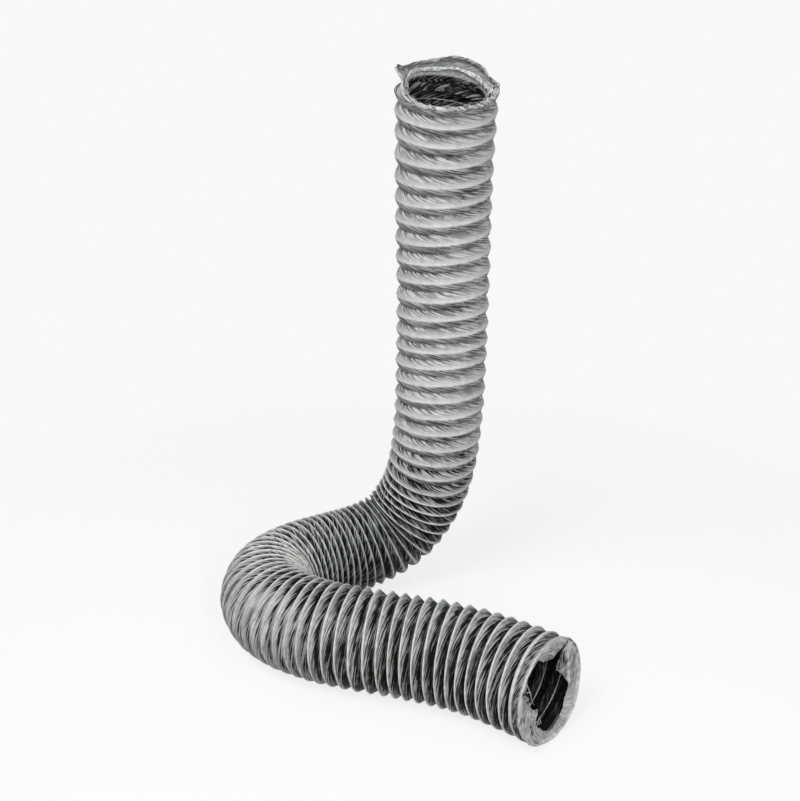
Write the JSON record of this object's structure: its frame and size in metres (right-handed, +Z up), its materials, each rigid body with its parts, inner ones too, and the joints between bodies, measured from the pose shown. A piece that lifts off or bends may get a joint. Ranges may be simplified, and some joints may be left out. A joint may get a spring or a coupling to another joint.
{
  "type": "flexible ventilation hose",
  "caption": "Flexible round ventilation hose of grey coated film pleated over a spring wire helix, standing in a loop with one end up and the other end open on the floor.",
  "frame": {"origin": "centre of the footprint, on the floor", "axes": "+Z up along the standing end; the lying end opens towards +X and -Y"},
  "size_m": [0.3784, 0.4008, 0.6045],
  "materials": {
    "coated_film": "satin",
    "spring_steel": "satin"
  },
  "bodies": {
    "root": {"film_sleeve": "coated_film", "spring_wire": "spring_steel"}
  },
  "joints": []
}
